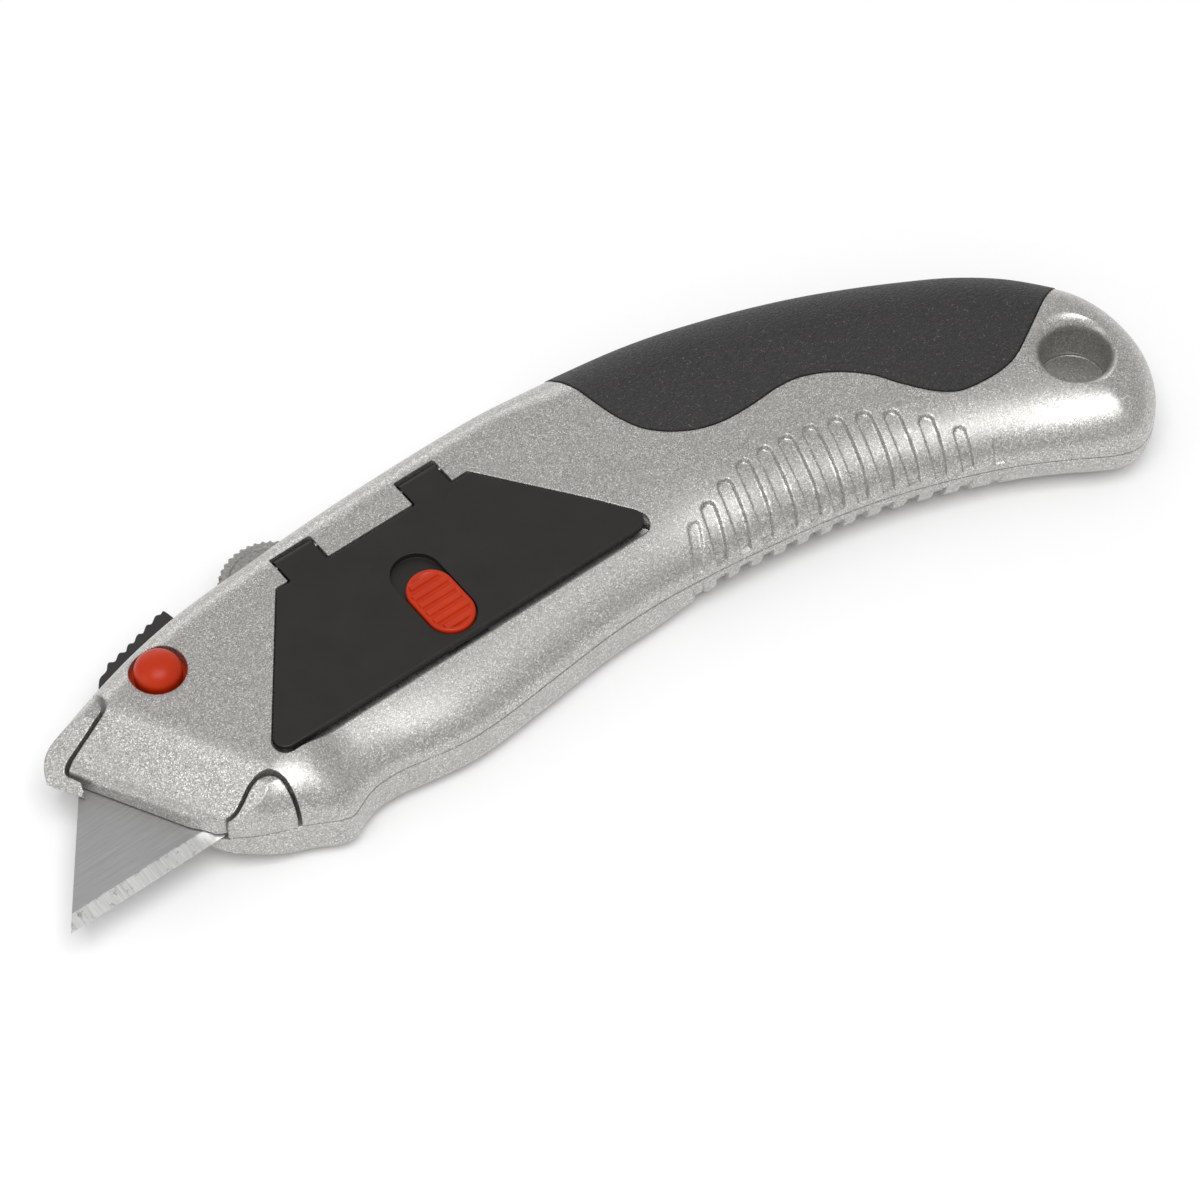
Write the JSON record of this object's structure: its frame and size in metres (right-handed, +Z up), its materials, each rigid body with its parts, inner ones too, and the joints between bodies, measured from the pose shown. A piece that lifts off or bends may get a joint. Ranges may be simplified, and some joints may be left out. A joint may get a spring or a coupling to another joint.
{
  "type": "utility knife",
  "caption": "Retractable utility knife with a die-cast silver body, rubber grip, thumb slide, blade release button, thumbwheel and hinged blade store.",
  "frame": {"origin": "middle of the underside of the box round the knife with its blade out, lying on its far side", "axes": "+X towards the tail, +Y towards the spine, +Z up through the thickness to the side with the blade store"},
  "size_m": [0.1774, 0.0624, 0.0181],
  "materials": {
    "silver_paint": "fine metallic sparkle, satin",
    "grip_rubber": "leather grain, matt",
    "blade_steel": "fine ground",
    "cast_zinc": "as cast",
    "black_plastic": "satin moulded",
    "red_plastic": "semi-gloss moulded",
    "wheel_metal": "knurled, metallic paint",
    "plated_steel": "zinc plated",
    "spring_steel": "bright rolled"
  },
  "bodies": {
    "handle": {"near_shell": "silver_paint", "far_shell": "silver_paint", "near_grip": "grip_rubber", "far_grip": "grip_rubber", "button_retainer": "plated_steel", "button_spring": "spring_steel", "hinge_pins": "plated_steel", "wheel_axle": "plated_steel", "wheel_clip": "spring_steel", "case_screws": "plated_steel", "spare_blades": "blade_steel"},
    "sled": {"blade_carriage": "cast_zinc", "thumb_slider": "black_plastic", "slider_rivets": "plated_steel", "detent_spring": "spring_steel", "blade": "blade_steel", "catch_spring": "spring_steel"},
    "catch": {"blade_catch": "plated_steel"},
    "button": {"release_button": "red_plastic"},
    "door": {"storage_door": "black_plastic", "spare_blade_clip": "spring_steel"},
    "latch": {"door_latch": "red_plastic", "latch_bolt": "plated_steel"},
    "wheel": {"lock_wheel": "wheel_metal"}
  },
  "joints": [
    {"name": "blade_slide", "type": "slide", "parent": "handle", "child": "sled", "axis": [1, 0, 0], "range_m": [0, 0.0265]},
    {"name": "button_press", "type": "slide", "parent": "handle", "child": "button", "axis": [0, 0, -1], "range_m": [0, 0.0014], "stiffness_N_per_m": 800, "deforming": ["button_spring"]},
    {"name": "catch_drop", "type": "slide", "parent": "sled", "child": "catch", "axis": [0, 0, -1], "range_m": [0, 0.0014], "deforming": ["catch_spring"]},
    {"name": "door_hinge", "type": "hinge", "parent": "handle", "child": "door", "pos_m": [-0.02192, 0.02293, 0.0149], "axis": [-1, 0, 0], "range_deg": [0, 95]},
    {"name": "latch_slide", "type": "slide", "parent": "door", "child": "latch", "axis": [0, 1, 0], "range_m": [0, 0.0033]},
    {"name": "wheel_turn", "type": "hinge", "parent": "handle", "child": "wheel", "pos_m": [-0.03567, 0.0237, 0.01], "axis": [0, 0, 1], "range_deg": [0, 120]}
  ],
  "couplings": [
    {"joint": "catch_drop", "follows": "button_press", "ratio": 1}
  ]
}
